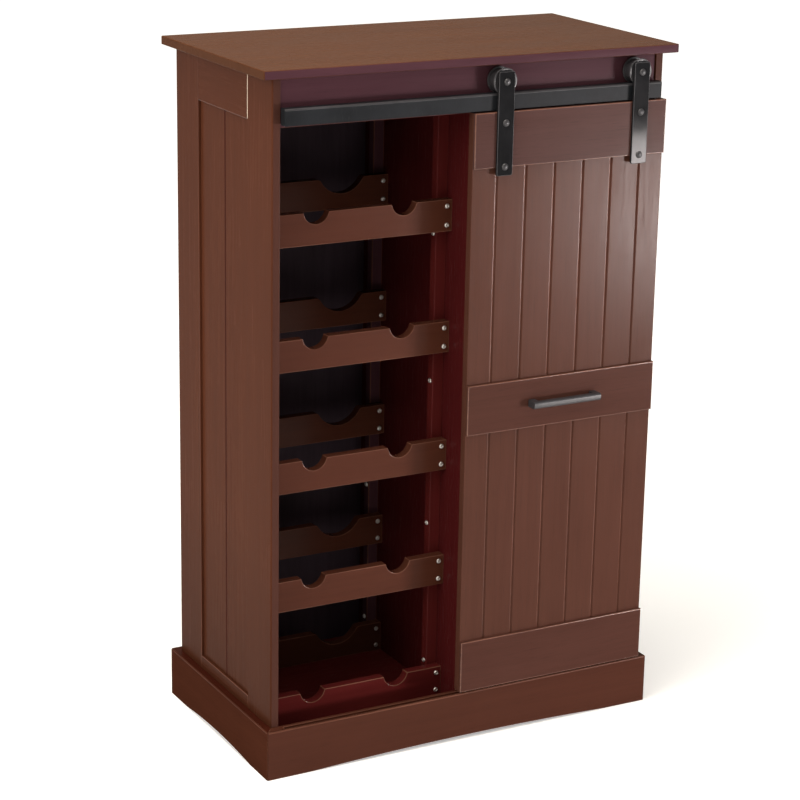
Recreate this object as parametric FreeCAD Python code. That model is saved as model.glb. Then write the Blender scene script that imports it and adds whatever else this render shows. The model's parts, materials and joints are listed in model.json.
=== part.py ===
import FreeCAD
import Part
import math
import os

# Wine cabinet with a bottle rack on the left and a sliding barn door on the right.
# Millimetres. +Z is up, the front faces -Y, the door slides along X.
# Every length below is measured on the cabinet body, whose depth is centred on Y = 0.
# At the end all pieces are moved so that the origin is on the floor, under the
# middle of the whole cabinet, pull handle included.

V = FreeCAD.Vector

# Cabinet body and top
cabinet_height = 1000.0
body_width = 610.0
body_depth = 314.0
top_thickness = 12.0
top_side_overhang = 17.5
top_front_overhang = 13.0
top_back_overhang = 12.0
top_corner_round = 2.5
top_edge_ease = 1.0

# Base boards
base_height = 73.0
base_front_thickness = 15.0
base_side_thickness = 12.0
base_back_thickness = 12.0
base_corner_round = 2.5
base_edge_ease = 1.5
base_front_foot = 72.0
base_side_foot = 58.0
base_arch_rise = 5.5

# Framed side walls
side_thickness = 12.0
side_floor_gap = 15.0
stile_width = 76.0
stile_edge_round = 2.5
head_rail_height = 66.0
bottom_rail_reveal = 19.0
panel_recess = 4.0
panel_back_reveal = 2.0
panel_tongue = 6.0
plank_groove_width = 3.5
plank_groove_depth = 1.6

# Fascia, divider, floor and back
fascia_thickness = 12.0
fascia_setback = 2.5
divider_thickness = 12.0
divider_setback = 2.0
floor_thickness = 12.0
floor_top = 48.0
back_panel_thickness = 4.0
back_panel_inset = 2.0

# Bottle rack
tier_count = 5
tier_pitch = 175.3
bottle_pitch = 135.0
rack_rail_height = 45.5
rack_rail_thickness = 15.0
rack_front_setback = 45.0
rack_back_setback = 44.0
neck_notch_radius = 19.2
neck_notch_depth = 16.5
bottle_notch_radius = 38.0
bottle_notch_depth = 22.5
bottle_lip_round = 7.0
post_width = 17.0
post_depth = 15.0
rack_screw_spacing = 27.0
post_screw_count = 4
post_screw_pitch = 215.0
post_screw_start = 50.0
screw_head_radius = 3.6
screw_head_height = 1.8
screw_crown_radius = 2.2
fastener_sides = 8
small_head_sides = 6
bolt_head_sides = 12

# Shelves behind the door
shelf_thickness = 12.0
shelf_front_setback = 18.0
shelf_side_clearance = 1.0
lower_shelf_height = 345.0
upper_shelf_height = 632.0
shelf_pin_radius = 2.5
shelf_pin_insert = 8.0
shelf_pin_reach = 9.0
shelf_pin_inset = 38.0

# Track above the door
track_length = 588.0
track_height = 23.0
track_thickness = 13.0
track_drop = 38.5
track_edge_round = 1.5
track_spacer_length = 5.0
track_spacer_radius = 5.0
track_screw_count = 4
track_screw_end = 40.0
track_screw_radius = 2.0
track_screw_bite = 8.0
track_screw_head_radius = 4.5
track_screw_crown_radius = 3.0
track_screw_head_height = 2.5

# Rollers and their axles
roller_run_radius = 15.9
roller_flange_height = 2.6
roller_flange_thickness = 2.2
roller_side_clearance = 0.6
roller_running_gap = 0.3
axle_radius = 4.0
axle_cap_radius = 6.0
axle_cap_height = 1.5
axle_cap_clearance = 0.4
running_clearance = 0.05

# Sliding door
door_width = 311.0
door_rest_margin = 4.0
door_top_gap = 2.0
door_bottom_gap = 3.5
door_panel_thickness = 12.0
door_rail_thickness = 5.0
door_end_rail_height = 77.0
door_mid_rail_height = 73.0
door_mid_rail_raise = 3.0
door_edge_round = 1.2
door_plank_count = 7
door_plank_pitch = 46.5
door_groove_width = 4.0
door_groove_depth = 2.0

# Hanger straps and their bolts
strap_width = 25.0
strap_thickness = 4.0
strap_length = 143.0
strap_head = 14.0
strap_edge_margin = 45.75
strap_gap = 0.7
strap_corner_round = 2.5
strap_bolt_head_radius = 5.0
strap_bolt_head_height = 3.2
strap_bolt_crown_radius = 2.6
strap_bolt_radius = 2.5
strap_bolt_bite = 8.0
strap_bolt_upper = 56.0
strap_bolt_lower = 116.5
hole_clearance = 0.1

# Pull handle
handle_length = 112.0
handle_height = 10.5
handle_projection = 17.0
handle_bar_thickness = 7.0
handle_leg_width = 10.0
handle_edge_ease = 2.6
handle_end_ease = 0.8
handle_screw_radius = 2.0
handle_screw_bite = 9.0
handle_screw_head_radius = 4.0
handle_screw_crown_radius = 3.0
handle_screw_head_height = 2.4
handle_screw_sink = 3.0

# Guide pegs under the door, which run in a groove along the base
peg_radius = 2.0
peg_end_margin = 15.5
peg_insert = 9.0
peg_reach = 5.0
peg_side_clearance = 0.7
peg_end_clearance = 0.5
peg_groove_floor_clearance = 2.0

# Derived planes of the body
body_right = body_width / 2
body_left = -body_right
body_front = -body_depth / 2
body_back = body_depth / 2
top_underside = cabinet_height - top_thickness
side_inner = body_right - side_thickness
base_front = body_front - base_front_thickness
base_back = body_back + base_back_thickness
base_right = body_right + base_side_thickness
head_bottom = top_underside - head_rail_height
bottom_rail_top = base_height + bottom_rail_reveal
panel_thickness = side_thickness - panel_recess - panel_back_reveal
floor_bottom = floor_top - floor_thickness
back_panel_back = body_back - back_panel_inset
back_panel_front = back_panel_back - back_panel_thickness
fascia_front = body_front + fascia_setback
fascia_back = fascia_front + fascia_thickness
divider_right = divider_thickness / 2
divider_left = -divider_right

# Derived planes of the track, the rollers and the door
track_top = top_underside - track_drop
track_bottom = track_top - track_height
track_back = fascia_front - track_spacer_length
track_front = track_back - track_thickness
track_middle = (track_front + track_back) / 2
roller_half_width = track_thickness / 2 + roller_side_clearance + roller_flange_thickness
roller_front = track_middle - roller_half_width
roller_back = track_middle + roller_half_width
axle_height = track_top + roller_running_gap + roller_run_radius
door_front = roller_front - strap_gap
door_panel_front = door_front + door_rail_thickness
door_back = door_panel_front + door_panel_thickness
door_top = track_bottom - door_top_gap
door_bottom = base_height + door_bottom_gap
door_right = body_right - door_rest_margin
door_left = door_right - door_width
door_centre = (door_left + door_right) / 2
door_middle_plane = (door_panel_front + door_back) / 2
strap_front = door_front - strap_thickness
strap_top = axle_height + strap_head
strap_bottom = strap_top - strap_length
mid_rail_centre = (door_top + door_bottom) / 2 + door_mid_rail_raise
mid_rail_bottom = mid_rail_centre - door_mid_rail_height / 2
mid_rail_top = mid_rail_centre + door_mid_rail_height / 2
handle_front = door_front - handle_projection
door_travel = 2 * door_centre

# Origin: on the floor, under the middle of the whole cabinet
whole_front = min(handle_front, base_front)
whole_back = max(base_back, body_back + top_back_overhang)
origin_shift = V(0, -(whole_front + whole_back) / 2, 0)


def block(x0, x1, y0, y1, z0, z1):
    return Part.makeBox(x1 - x0, y1 - y0, z1 - z0, V(x0, y0, z0))


def prism(points, direction):
    wire = Part.makePolygon(points + [points[0]])
    return Part.Face(wire).extrude(direction)


def rod(centre, axis, length, radius):
    return Part.makeCylinder(radius, length, centre, axis)


def turned(profile, centre):
    # Profile points are (radius, y) and turn about a line along Y through the centre.
    points = [V(centre.x + r, y, centre.z) for r, y in profile]
    face = Part.Face(Part.makePolygon(points + [points[0]]))
    return face.revolve(V(centre.x, 0, centre.z), V(0, 1, 0), 360)


def edges_where(shape, test):
    found = []
    for edge in shape.Edges:
        if all(test(vertex.Point) for vertex in edge.Vertexes):
            found.append(edge)
    return found


def near(a, b):
    return abs(a - b) < 1e-4


def group(solids):
    return solids[0] if len(solids) == 1 else Part.makeCompound(solids)


def ring_points(centre, axis, radius, sides):
    # Corners of the regular polygon that small plain fasteners and their holes share.
    across = V(axis.y, axis.z, axis.x)
    beyond = axis.cross(across)
    turns = [2 * math.pi * (i + 0.5) / sides for i in range(sides)]
    return [centre + across * (radius * math.cos(t)) + beyond * (radius * math.sin(t)) for t in turns]


def bar(centre, axis, length, radius):
    return prism(ring_points(centre, axis, radius, fastener_sides), V(axis).multiply(length))


def tapered_head(centre, axis, seat_radius, crown_radius, height, sides):
    # A fastener's head stands on its seat, on the far side from where the axis points.
    seat = ring_points(centre, axis, seat_radius, sides)
    crown = ring_points(centre - axis * height, axis, crown_radius, sides)
    loops = [seat, crown]
    for i in range(sides):
        j = (i + 1) % sides
        loops.append([seat[i], seat[j], crown[j], crown[i]])
    faces = [Part.Face(Part.makePolygon(loop + [loop[0]])) for loop in loops]
    head = Part.makeSolid(Part.makeShell(faces))
    return head if head.Volume > 0 else head.reversed()


def screw(centre, axis, head_radius, crown_radius, head_height, shank_radius, shank_length):
    head = tapered_head(centre, axis, head_radius, crown_radius, head_height, fastener_sides)
    return head.fuse(bar(centre, axis, shank_length, shank_radius))


def small_head(centre, axis):
    return tapered_head(centre, axis, screw_head_radius, screw_crown_radius, screw_head_height, small_head_sides)


def button_head(x, z):
    return tapered_head(V(x, strap_front, z), V(0, 1, 0), strap_bolt_head_radius, strap_bolt_crown_radius,
                        strap_bolt_head_height, bolt_head_sides)


parts = {}


# Top board: a thin overhanging slab with eased edges
def make_top():
    half = body_right + top_side_overhang
    slab = block(-half, half, body_front - top_front_overhang, body_back + top_back_overhang,
                 top_underside, cabinet_height)
    upright = [edge for edge in slab.Edges if not near(edge.Vertexes[0].Z, edge.Vertexes[1].Z)]
    slab = slab.makeFillet(top_corner_round, upright)
    rims = [edge for edge in slab.Edges if near(edge.Vertexes[0].Z, edge.Vertexes[-1].Z)]
    return slab.makeChamfer(top_edge_ease, rims)


parts["top_board"] = make_top()


# Side walls: two stiles, two rails and a recessed panel held in a groove all round
panel_half = body_back - stile_width
side_bottom = side_floor_gap
panel_low = bottom_rail_top - panel_tongue
panel_high = head_bottom + panel_tongue
panel_outer = body_right - panel_recess
panel_inner = panel_outer - panel_thickness


def panel_slot():
    reach = panel_half + panel_tongue
    return block(panel_inner, panel_outer, -reach, reach, panel_low, panel_high)


def make_stile(outer_y, inner_y):
    low = min(outer_y, inner_y)
    high = max(outer_y, inner_y)
    stile = block(side_inner, body_right, low, high, side_bottom, top_underside)
    corner = edges_where(stile, lambda p: near(p.x, body_right) and near(p.y, outer_y))
    return stile.makeFillet(stile_edge_round, corner).cut(panel_slot())


def make_side_rail(low, high):
    rail = block(side_inner, body_right, -panel_half, panel_half, low, high)
    return rail.cut(panel_slot())


def make_side_panel():
    panel = panel_slot()
    half = plank_groove_width / 2
    groove = prism([V(panel_outer, -half, panel_low), V(panel_outer, half, panel_low),
                    V(panel_outer - plank_groove_depth, 0, panel_low)], V(0, 0, panel_high - panel_low))
    return panel.cut(groove)


right_side = {
    "front_stile": make_stile(body_front, -panel_half),
    "rear_stile": make_stile(body_back, panel_half),
    "top_rail": make_side_rail(head_bottom, top_underside),
    "bottom_rail": make_side_rail(side_bottom, bottom_rail_top),
    "side_panel": make_side_panel(),
}


# Rack and shelf stations, needed for the holes in the side walls
rack_front = body_front + rack_front_setback
rack_rear = back_panel_front - rack_back_setback - post_depth - rack_rail_thickness
bay_left = -side_inner
bay_centre = (bay_left + divider_left) / 2
tier_tops = [floor_top + rack_rail_height + tier_pitch * i for i in range(tier_count)]
post_planes = {"front": rack_front + rack_rail_thickness, "rear": rack_rear + rack_rail_thickness}
pin_rows = [body_front + shelf_front_setback + shelf_pin_inset, back_panel_front - shelf_pin_inset]
shelf_heights = {"lower_shelf": lower_shelf_height, "upper_shelf": upper_shelf_height}


def shelf_pin(x, y, z, side):
    # side is +1 for a pin let into the right wall and -1 for one in the divider
    start = V(x - side * shelf_pin_reach, y, z - shelf_pin_radius)
    return bar(start, V(side, 0, 0), shelf_pin_reach + shelf_pin_insert, shelf_pin_radius)


pins = []
for height in shelf_heights.values():
    for row in pin_rows:
        pins.append(shelf_pin(side_inner, row, height, 1))
        pins.append(shelf_pin(divider_right, row, height, -1))


def drilled(solid, tools):
    return solid.cut(tools) if tools else solid


for name in ("front_stile", "rear_stile"):
    wall = right_side[name]
    box = wall.BoundBox
    own = [pin for pin in pins if box.YMin < pin.BoundBox.Center.y < box.YMax and pin.BoundBox.Center.x > 0
           and pin.BoundBox.XMax > side_inner]
    parts["right_" + name] = drilled(wall, own)
    parts["left_" + name] = wall.mirror(V(0, 0, 0), V(1, 0, 0))
for name in ("top_rail", "bottom_rail", "side_panel"):
    parts["right_" + name] = right_side[name]
    parts["left_" + name] = right_side[name].mirror(V(0, 0, 0), V(1, 0, 0))


# Fascia board across the top of the front, set back behind the stiles
track_screw_step = (track_length - 2 * track_screw_end) / (track_screw_count - 1)
track_screw_places = [-track_length / 2 + track_screw_end + track_screw_step * i for i in range(track_screw_count)]
track_axis = (track_top + track_bottom) / 2
screw_hole = track_screw_radius + hole_clearance

fascia = block(-side_inner, side_inner, fascia_front, fascia_back, head_bottom, top_underside)
fascia_holes = [bar(V(x, fascia_front, track_axis), V(0, 1, 0), fascia_thickness, screw_hole)
                for x in track_screw_places]
parts["fascia_rail"] = fascia.cut(fascia_holes)


# Divider between the two bays, notched round the fascia
divider_front = body_front + divider_setback
divider_outline = [V(divider_left, divider_front, floor_top), V(divider_left, back_panel_front, floor_top),
                   V(divider_left, back_panel_front, top_underside), V(divider_left, fascia_back, top_underside),
                   V(divider_left, fascia_back, head_bottom), V(divider_left, divider_front, head_bottom)]
divider = prism(divider_outline, V(divider_thickness, 0, 0))
divider_pins = [pin for pin in pins if pin.BoundBox.XMin < divider_right]
parts["centre_divider"] = divider.cut(divider_pins)

parts["floor_board"] = block(-side_inner, side_inner, body_front, back_panel_front, floor_bottom, floor_top)
parts["back_panel"] = block(-side_inner, side_inner, back_panel_front, back_panel_back, floor_bottom, top_underside)


# Base: one ring of mitred boards with rounded corners, arched undersides and a guide groove
def arch(start, end, across):
    low = V(start)
    high = V(end)
    crown = (low + high) * 0.5 + V(0, 0, base_arch_rise)
    curve = Part.Arc(low, crown, high).toShape()
    face = Part.Face(Part.Wire([curve, Part.makeLine(high, low)]))
    return face.extrude(across)


def base_ring():
    ring = block(-base_right, base_right, base_front, base_back, 0, base_height)
    upright = edges_where(ring, lambda p: True)
    upright = [edge for edge in upright if near(edge.Vertexes[0].X, edge.Vertexes[1].X)
               and near(edge.Vertexes[0].Y, edge.Vertexes[1].Y)]
    ring = ring.makeFillet(base_corner_round, upright)
    rim = edges_where(ring, lambda p: near(p.z, base_height))
    ring = ring.makeChamfer(base_edge_ease, rim)
    ring = ring.cut(block(body_left, body_right, body_front, body_back, 0, base_height))
    front_end = base_right - base_front_foot
    deep = base_back - base_front
    ring = ring.cut(arch(V(-front_end, base_front, 0), V(front_end, base_front, 0), V(0, deep, 0)))
    side_near = base_front + base_side_foot
    side_far = base_back - base_side_foot
    wide = 2 * base_right
    ring = ring.cut(arch(V(-base_right, side_near, 0), V(-base_right, side_far, 0), V(wide, 0, 0)))
    return ring


def mitre(inner_a, outer_a, inner_b, outer_b):
    far_a = inner_a + (outer_a - inner_a) * 2
    far_b = inner_b + (outer_b - inner_b) * 2
    return prism([inner_a, inner_b, far_b, far_a], V(0, 0, base_height))


peg_places = [door_left + peg_end_margin, door_right - peg_end_margin]
groove_half_width = peg_radius + peg_side_clearance
groove_end = max(peg_places) + peg_radius + peg_end_clearance
groove_low = base_height - peg_reach - peg_groove_floor_clearance
guide_groove = block(-groove_end, groove_end, door_middle_plane - groove_half_width,
                     door_middle_plane + groove_half_width, groove_low, base_height)

inner = {"fl": V(body_left, body_front, 0), "fr": V(body_right, body_front, 0),
         "br": V(body_right, body_back, 0), "bl": V(body_left, body_back, 0)}
outer = {"fl": V(-base_right, base_front, 0), "fr": V(base_right, base_front, 0),
         "br": V(base_right, base_back, 0), "bl": V(-base_right, base_back, 0)}
ring = base_ring()
for name, a, b in (("front", "fl", "fr"), ("right", "fr", "br"), ("back", "br", "bl"), ("left", "bl", "fl")):
    board = ring.common(mitre(inner[a], outer[a], inner[b], outer[b]))
    if name == "front":
        board = board.cut(guide_groove)
    parts["base_" + name + "_board"] = board


# Bottle rack: posts on both walls of the left bay carry notched rails, screwed from the front
bay_right = divider_left
post_spans = {"left": (bay_left, bay_left + post_width), "right": (bay_right - post_width, bay_right)}
screw_columns = [sum(span) / 2 for span in post_spans.values()]
screw_drops = [(rack_rail_height - rack_screw_spacing) / 2, (rack_rail_height + rack_screw_spacing) / 2]
post_screw_heights = [floor_top + post_screw_start + post_screw_pitch * i for i in range(post_screw_count)]
post_screws = []
rack_screws = []

for side, span in post_spans.items():
    inward = V(-1, 0, 0) if side == "left" else V(1, 0, 0)
    seat = span[1] if side == "left" else span[0]
    for row, plane in post_planes.items():
        parts[side + "_" + row + "_post"] = block(span[0], span[1], plane, plane + post_depth, floor_top, top_underside)
        for height in post_screw_heights:
            post_screws.append(small_head(V(seat, plane + post_depth / 2, height), inward))


def rack_rail(front, top, radius, depth):
    rail = block(bay_left, bay_right, front, front + rack_rail_thickness, top - rack_rail_height, top)
    for offset in (-bottle_pitch / 2, bottle_pitch / 2):
        axis_point = V(bay_centre + offset, front, top - depth + radius)
        rail = rail.cut(rod(axis_point, V(0, 1, 0), rack_rail_thickness, radius))
    for column in screw_columns:
        for drop in screw_drops:
            rack_screws.append(small_head(V(column, front, top - drop), V(0, 1, 0)))
    return rail


def round_lips(rail, top):
    lips = [edge for edge in edges_where(rail, lambda p: near(p.z, top) and not near(p.x, bay_left)
                                         and not near(p.x, bay_right))
            if near(edge.Vertexes[0].X, edge.Vertexes[1].X)]
    return rail.makeFillet(bottle_lip_round, lips)


for number, top in enumerate(reversed(tier_tops), 1):
    parts["front_neck_rail_%d" % number] = rack_rail(rack_front, top, neck_notch_radius, neck_notch_depth)
    bottle_rail = rack_rail(rack_rear, top, bottle_notch_radius, bottle_notch_depth)
    parts["rear_bottle_rail_%d" % number] = round_lips(bottle_rail, top)
parts["rack_screws"] = group(rack_screws)
parts["post_screws"] = group(post_screws)


# Shelves behind the door, resting on pins
for name, height in shelf_heights.items():
    shelf = block(divider_right + shelf_side_clearance, side_inner - shelf_side_clearance,
                  body_front + shelf_front_setback, back_panel_front, height, height + shelf_thickness)
    front_edge = edges_where(shelf, lambda p: near(p.y, body_front + shelf_front_setback))
    front_edge = [edge for edge in front_edge if not near(edge.Vertexes[0].X, edge.Vertexes[1].X)]
    parts[name] = shelf.makeFillet(door_edge_round, front_edge)
parts["shelf_pins"] = group(pins)


# Track: a solid bar held off the fascia by spacers, screwed from inside
track = block(-track_length / 2, track_length / 2, track_front, track_back, track_bottom, track_top)
long_edges = [edge for edge in track.Edges if not near(edge.Vertexes[0].X, edge.Vertexes[1].X)]
track = track.makeFillet(track_edge_round, long_edges)
track_sockets = [bar(V(x, track_back - track_screw_bite, track_axis), V(0, 1, 0), track_screw_bite,
                     track_screw_radius + running_clearance) for x in track_screw_places]
parts["track_rail"] = track.cut(track_sockets)
spacers = []
track_screws = []
for x in track_screw_places:
    start = V(x, track_back, track_axis)
    sleeve = bar(start, V(0, 1, 0), track_spacer_length, track_spacer_radius)
    spacers.append(sleeve.cut(bar(start, V(0, 1, 0), track_spacer_length, screw_hole)))
    track_screws.append(screw(V(x, fascia_back, track_axis), V(0, -1, 0), track_screw_head_radius,
                              track_screw_crown_radius, track_screw_head_height, track_screw_radius,
                              fascia_thickness + track_spacer_length + track_screw_bite))
parts["track_spacers"] = group(spacers)
parts["track_screws"] = group(track_screws)


# Door: a grooved plank panel with three rails across its front
strap_places = {"left": door_left + strap_edge_margin, "right": door_right - strap_edge_margin}
bolt_heights = [axle_height - strap_bolt_upper, axle_height - strap_bolt_lower]
bolt_tail = door_front + door_rail_thickness + strap_bolt_bite
bolt_holes = [bar(V(x, strap_front, z), V(0, 1, 0), bolt_tail - strap_front, strap_bolt_radius + hole_clearance)
              for x in strap_places.values() for z in bolt_heights]
handle_leg_places = [door_centre - handle_length / 2 + handle_leg_width / 2,
                     door_centre + handle_length / 2 - handle_leg_width / 2]
handle_holes = [bar(V(x, door_front, mid_rail_centre), V(0, 1, 0), door_back - door_front,
                    handle_screw_radius + hole_clearance) for x in handle_leg_places]
handle_sinks = [bar(V(x, door_back - handle_screw_sink, mid_rail_centre), V(0, 1, 0), handle_screw_sink,
                    handle_screw_head_radius + hole_clearance) for x in handle_leg_places]


def make_door_panel():
    panel = block(door_left, door_right, door_panel_front, door_back, door_bottom, door_top)
    first = door_centre - door_plank_pitch * (door_plank_count - 2) / 2
    half = door_groove_width / 2
    for i in range(door_plank_count - 1):
        x = first + door_plank_pitch * i
        panel = panel.cut(prism([V(x - half, door_panel_front, door_bottom), V(x + half, door_panel_front, door_bottom),
                                 V(x, door_panel_front + door_groove_depth, door_bottom)],
                                V(0, 0, door_top - door_bottom)))
    sockets = [bar(V(x, door_middle_plane, door_bottom), V(0, 0, 1), peg_insert, peg_radius + running_clearance)
               for x in peg_places]
    return panel.cut(bolt_holes + handle_holes + handle_sinks + sockets)


def make_door_rail(low, high, holes):
    rail = block(door_left, door_right, door_front, door_panel_front, low, high)
    face_edges = edges_where(rail, lambda p: near(p.y, door_front))
    rail = rail.makeFillet(door_edge_round, face_edges)
    return drilled(rail, holes)


parts["door_panel"] = make_door_panel()
parts["door_top_rail"] = make_door_rail(door_top - door_end_rail_height, door_top, bolt_holes)
parts["door_mid_rail"] = make_door_rail(mid_rail_bottom, mid_rail_top, handle_holes)
parts["door_bottom_rail"] = make_door_rail(door_bottom, door_bottom + door_end_rail_height, [])


# Pull handle: a bevelled bar cut square at its ends, on two legs, screwed from behind the door
def make_handle():
    x0 = door_centre - handle_length / 2
    x1 = door_centre + handle_length / 2
    z0 = mid_rail_centre - handle_height / 2
    z1 = mid_rail_centre + handle_height / 2
    bow = block(x0, x1, handle_front, door_front, z0, z1)
    long_edges = [edge for edge in edges_where(bow, lambda p: near(p.y, handle_front))
                  if near(edge.Vertexes[0].Z, edge.Vertexes[1].Z)]
    bow = bow.makeChamfer(handle_edge_ease, long_edges)
    end_rims = edges_where(bow, lambda p: near(p.x, x0)) + edges_where(bow, lambda p: near(p.x, x1))
    end_rims = [edge for edge in end_rims if not near(edge.CenterOfMass.y, door_front)]
    bow = bow.makeChamfer(handle_end_ease, end_rims)
    bow = bow.cut(block(x0 + handle_leg_width, x1 - handle_leg_width, handle_front + handle_bar_thickness,
                        door_front, z0, z1))
    sockets = [bar(V(x, door_front - handle_screw_bite, mid_rail_centre), V(0, 1, 0), handle_screw_bite,
                   handle_screw_radius + running_clearance) for x in handle_leg_places]
    return bow.cut(sockets)


parts["pull_handle"] = make_handle()
handle_screws = []
for x in handle_leg_places:
    seat = door_back - handle_screw_sink
    handle_screws.append(screw(V(x, seat, mid_rail_centre), V(0, -1, 0), handle_screw_head_radius,
                               handle_screw_crown_radius, handle_screw_head_height, handle_screw_radius,
                               seat - door_front + handle_screw_bite))
parts["handle_screws"] = group(handle_screws)


# Hanger straps, bolted to the door, with an axle at the top
axle_back = roller_back
axle_cap_front = axle_back - axle_cap_height
roller_pocket_radius = axle_cap_radius + axle_cap_clearance
roller_pocket_depth = axle_cap_height + axle_cap_clearance
flange_radius = roller_run_radius + roller_flange_height


def make_strap(x):
    strap = block(x - strap_width / 2, x + strap_width / 2, strap_front, door_front, strap_bottom, strap_top)
    corners = [edge for edge in strap.Edges if not near(edge.Vertexes[0].Y, edge.Vertexes[1].Y)]
    strap = strap.makeFillet(strap_corner_round, corners)
    axle_hole = rod(V(x, strap_front, axle_height), V(0, 1, 0), strap_thickness, axle_radius + hole_clearance)
    return strap.cut([axle_hole] + bolt_holes)


def make_axle(x):
    shank = rod(V(x, strap_front, axle_height), V(0, 1, 0), axle_back - strap_front, axle_radius)
    cap_rim = ring_points(V(x, axle_cap_front, axle_height), V(0, 1, 0), axle_cap_radius, bolt_head_sides)
    cap = prism(cap_rim, V(0, axle_cap_height, 0))
    return button_head(x, axle_height).fuse([shank, cap]).removeSplitter()


def make_bolt(x, z):
    shank = bar(V(x, strap_front, z), V(0, 1, 0), bolt_tail - strap_front, strap_bolt_radius)
    return button_head(x, z).fuse(shank)


def make_roller(x):
    run_front = roller_front + roller_flange_thickness
    run_back = roller_back - roller_flange_thickness
    bore = axle_radius + running_clearance
    pocket = roller_back - roller_pocket_depth
    profile = [(bore, roller_front), (flange_radius, roller_front), (flange_radius, run_front),
               (roller_run_radius, run_front), (roller_run_radius, run_back), (flange_radius, run_back),
               (flange_radius, roller_back), (roller_pocket_radius, roller_back), (roller_pocket_radius, pocket),
               (bore, pocket)]
    return turned(profile, V(x, 0, axle_height))


axles = []
bolts = []
for side, x in strap_places.items():
    parts[side + "_hanger_strap"] = make_strap(x)
    parts[side + "_roller"] = make_roller(x)
    axles.append(make_axle(x))
    for z in bolt_heights:
        bolts.append(make_bolt(x, z))
parts["axle_bolts"] = group(axles)
parts["strap_bolts"] = group(bolts)

pegs = [bar(V(x, door_middle_plane, base_height - peg_reach), V(0, 0, 1),
            peg_reach + door_bottom_gap + peg_insert, peg_radius) for x in peg_places]
parts["door_guide_pegs"] = group(pegs)


os.makedirs("parts", exist_ok=True)
for name, shape in parts.items():
    placed = shape.copy()
    placed.translate(origin_shift)
    placed.exportStep(os.path.join("parts", name + ".step"))
print("pieces", len(parts), "origin shift", round(origin_shift.y, 3))
print("door travel", round(door_travel, 3), "axle height", round(axle_height, 3))
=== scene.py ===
import json
import math

import bpy
from mathutils import Matrix, Vector

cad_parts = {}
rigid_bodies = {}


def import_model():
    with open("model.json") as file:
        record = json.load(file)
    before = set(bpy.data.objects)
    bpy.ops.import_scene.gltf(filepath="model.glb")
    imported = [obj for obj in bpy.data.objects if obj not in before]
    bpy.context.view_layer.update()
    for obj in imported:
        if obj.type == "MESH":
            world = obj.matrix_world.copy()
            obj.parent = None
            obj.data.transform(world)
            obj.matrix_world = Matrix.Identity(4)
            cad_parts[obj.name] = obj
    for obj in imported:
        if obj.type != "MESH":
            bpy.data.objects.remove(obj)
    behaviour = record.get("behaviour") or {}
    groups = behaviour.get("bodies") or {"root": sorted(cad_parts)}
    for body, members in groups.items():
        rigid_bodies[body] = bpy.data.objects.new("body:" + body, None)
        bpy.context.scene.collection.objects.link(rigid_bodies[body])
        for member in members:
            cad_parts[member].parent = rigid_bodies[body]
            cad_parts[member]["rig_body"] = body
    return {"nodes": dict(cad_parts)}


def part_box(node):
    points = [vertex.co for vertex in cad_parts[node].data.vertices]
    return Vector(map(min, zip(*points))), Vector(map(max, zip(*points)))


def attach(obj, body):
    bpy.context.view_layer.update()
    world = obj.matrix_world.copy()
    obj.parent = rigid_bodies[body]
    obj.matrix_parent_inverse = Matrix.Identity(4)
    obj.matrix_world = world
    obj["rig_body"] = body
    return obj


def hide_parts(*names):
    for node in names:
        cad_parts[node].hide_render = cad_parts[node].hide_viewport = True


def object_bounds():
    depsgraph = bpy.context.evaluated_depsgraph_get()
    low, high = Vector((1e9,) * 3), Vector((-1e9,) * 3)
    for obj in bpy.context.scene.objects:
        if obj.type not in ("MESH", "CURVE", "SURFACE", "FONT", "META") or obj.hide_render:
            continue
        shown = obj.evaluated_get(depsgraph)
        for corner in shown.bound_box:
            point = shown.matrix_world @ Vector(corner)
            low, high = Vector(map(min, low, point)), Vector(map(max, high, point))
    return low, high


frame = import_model()
cad_low, cad_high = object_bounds()

bl_info = {
    "name": "Wine cabinet with a rolling plank door",
    "version": (1, 0, 0),
    "blender": (4, 5, 0),
    "location": "View3D > Sidebar > Cabinet",
    "description": "Dresses the packed wine cabinet with eased boards, round hardware and stained finishes",
    "category": "Object",
}

# Grain runs along one of the cabinet's own axes on every board
GRAIN_TURNS = {
    "across": (0.0, 0.0, 0.0),
    "deep": (0.0, 0.0, math.radians(-90)),
    "upright": (0.0, math.radians(90), 0.0),
}

# Ways along the cabinet's own axes
ASIDE = Vector((1, 0, 0))
BACK = Vector((0, 1, 0))
UP = Vector((0, 0, 1))

# Share of a face's normal that lies along an axis: it faces that way, leans that way or turns away from it
FACING = 0.9
LEANING = 0.2
TURNED_AWAY = 0.1

# How edges, corners and seats are told apart, and how strongly wide faces stay flat
SHARP_EDGE = math.radians(25)
SMOOTH_EDGE = math.radians(32)
FLAT_ANGLE = math.radians(0.4)
MERGE_GAP = 0.000002
TOUCH = 0.000001
RING_GAP = 0.00005
SEAT_DIGITS = 5
FLAT_WEIGHT = 100

# Edges shorter than these stay sharp, on boards with fine grooves and on the arched base
BOARD_EDGE = 0.020
BASE_EDGE = 0.012

# The side walls' top rails are softer than other boards, and how far from a joint the near-white strip on
# the left one reaches
SOFTER = 1.4
JOINT_REACH = 0.002

# The middle step of a rounded rim, in parts of its rounding, and the flat on the crown of a dome
RIM_STEP = 0.3
CROWN_ANGLE = math.radians(8)
DOME_STEPS = 7

# Pan head of a screw, in parts of its radius and height, and the driver's cross in it
PAN_HEAD = ((0.40, 1.0), (0.62, 0.95), (0.82, 0.76), (0.95, 0.42), (1.0, 0.0))
CROSS_BLADE = 0.20
CROSS_REACH = 0.62
CROSS_DEPTH = 0.62
CROSS_TAPER = 0.7

# Sides of turned pieces
SCREW_SIDES = 16
PIN_SIDES = 20
PEG_SIDES = 24
SPACER_SIDES = 24
BOLT_SIDES = 32
ROLLER_SIDES = 72

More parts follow.
